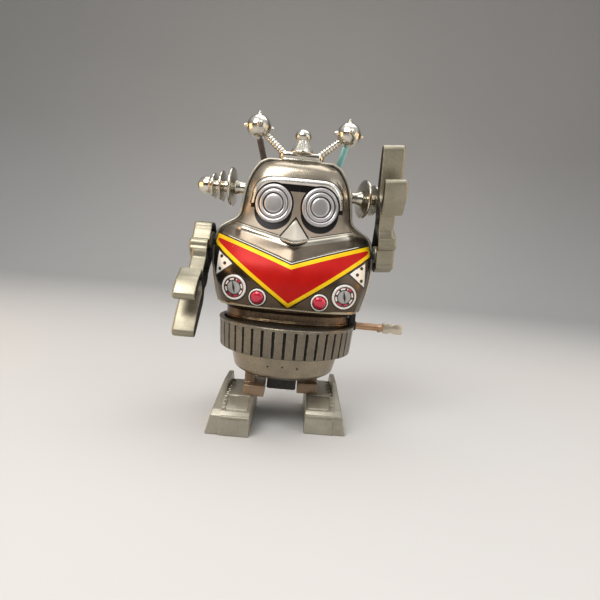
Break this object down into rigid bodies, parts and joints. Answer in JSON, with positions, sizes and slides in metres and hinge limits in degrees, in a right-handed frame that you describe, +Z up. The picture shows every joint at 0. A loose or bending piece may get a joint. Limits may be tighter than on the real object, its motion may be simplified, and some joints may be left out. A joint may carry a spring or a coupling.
{
  "type": "tin wind-up robot",
  "caption": "Clockwork tin walking robot with a two-ball crown, stepped ears, swinging claw arms and cranked sliding feet.",
  "frame": {"origin": "point on the standing surface midway between the feet, under the body's axis", "axes": "+Z up, -Y the way the face looks, +X to the robot's left hand (the viewer's right), the side with the winding stem"},
  "size_m": [0.0939, 0.0584, 0.1311],
  "materials": {
    "tin_front": "lithographed tin plate",
    "tin_back": "lithographed tin plate",
    "collar": "dark lacquered tin",
    "ring_plastic": "silver-lacquered moulded plastic",
    "pelvis_plastic": "silver-lacquered moulded plastic",
    "chrome": "vacuum-plated plastic",
    "stay_dark": "printed tin strip",
    "stay_teal": "printed tin strip",
    "arm_plastic": "silver-lacquered moulded plastic",
    "leg_plastic": "silver-lacquered moulded plastic",
    "foot_plastic": "silver-lacquered moulded plastic",
    "steel": "bright steel",
    "dark_steel": "blued steel",
    "spring_steel": "blued spring steel",
    "stem_steel": "coppered steel",
    "tab_steel": "pressed steel",
    "brass": "stamped brass",
    "black_plastic": "black moulded plastic"
  },
  "bodies": {
    "root": {"front_shell": "tin_front", "back_shell": "tin_back", "chest_collar": "collar", "waist_deck": "black_plastic", "waist_ring": "ring_plastic", "pelvis_cup": "pelvis_plastic", "crown": "chrome", "ear_left": "chrome", "ear_right": "chrome", "stay_left": "stay_dark", "stay_right": "stay_teal", "shoulder_bush_left": "black_plastic", "shoulder_bush_right": "black_plastic", "motor_plate_left": "steel", "motor_plate_right": "steel", "motor_pillars": "steel", "pillar_screws": "steel", "click": "steel", "click_spring": "spring_steel", "mainspring": "spring_steel", "winding_bush": "black_plastic", "motor_base": "steel", "guide_yoke": "dark_steel", "guide_rod": "dark_steel", "pelvis_screws": "steel"},
    "left_arm": {"arm_left": "arm_plastic", "arm_axle_left": "steel", "arm_washer_left": "steel"},
    "right_arm": {"arm_right": "arm_plastic", "arm_axle_right": "steel", "arm_washer_right": "steel"},
    "key_stem": {"winding_stem": "stem_steel", "key_tab": "tab_steel", "ratchet_wheel": "brass", "arbor_collars": "steel"},
    "great_gear": {"great_wheel": "brass"},
    "crank": {"crankshaft": "steel", "crank_pinion": "brass", "governor_wheel": "brass", "crank_disc_left": "steel", "crank_disc_right": "steel", "crank_pin_left": "steel", "crank_pin_right": "steel", "leg_clip_left": "dark_steel", "leg_clip_right": "dark_steel"},
    "governor": {"governor_arbor": "steel", "governor_pinion": "brass", "governor_rotor": "steel"},
    "left_leg": {"leg_left": "leg_plastic", "foot_left": "foot_plastic", "foot_screws_left": "steel"},
    "right_leg": {"leg_right": "leg_plastic", "foot_right": "foot_plastic", "foot_screws_right": "steel"}
  },
  "joints": [
    {"name": "arm_left_swing", "type": "hinge", "parent": "root", "child": "left_arm", "pos_m": [-0.034, 0, 0.076], "axis": [-1, 0, 0], "range_deg": [-82, 108]},
    {"name": "arm_right_swing", "type": "hinge", "parent": "root", "child": "right_arm", "pos_m": [0.0346, 0, 0.076], "axis": [-0.9962, 0, -0.0872], "range_deg": [-122, 0]},
    {"name": "key_wind", "type": "hinge", "parent": "root", "child": "key_stem", "pos_m": [0, 0, 0.0445], "axis": [1, 0, 0], "continuous": true},
    {"name": "crank_spin", "type": "hinge", "parent": "root", "child": "crank", "pos_m": [0, 0, 0.0325], "axis": [1, 0, 0], "continuous": true},
    {"name": "great_wheel_spin", "type": "hinge", "parent": "root", "child": "great_gear", "pos_m": [0, 0, 0.0445], "axis": [1, 0, 0], "continuous": true},
    {"name": "governor_spin", "type": "hinge", "parent": "root", "child": "governor", "pos_m": [0, 0.008, 0.02921], "axis": [1, 0, 0], "continuous": true},
    {"name": "leg_left_pin", "type": "hinge", "parent": "crank", "child": "left_leg", "pos_m": [-0.0126, -0.0045, 0.0325], "axis": [1, 0, 0], "continuous": true},
    {"name": "leg_right_pin", "type": "hinge", "parent": "crank", "child": "right_leg", "pos_m": [0.0126, 0.0045, 0.0325], "axis": [1, 0, 0], "continuous": true}
  ],
  "couplings": [
    {"joint": "great_wheel_spin", "follows": "crank_spin", "ratio": -0.33333},
    {"joint": "governor_spin", "follows": "crank_spin", "ratio": -2.4},
    {"joint": "leg_left_pin", "follows": "crank_spin", "ratio": -1},
    {"joint": "leg_right_pin", "follows": "crank_spin", "ratio": -1}
  ]
}
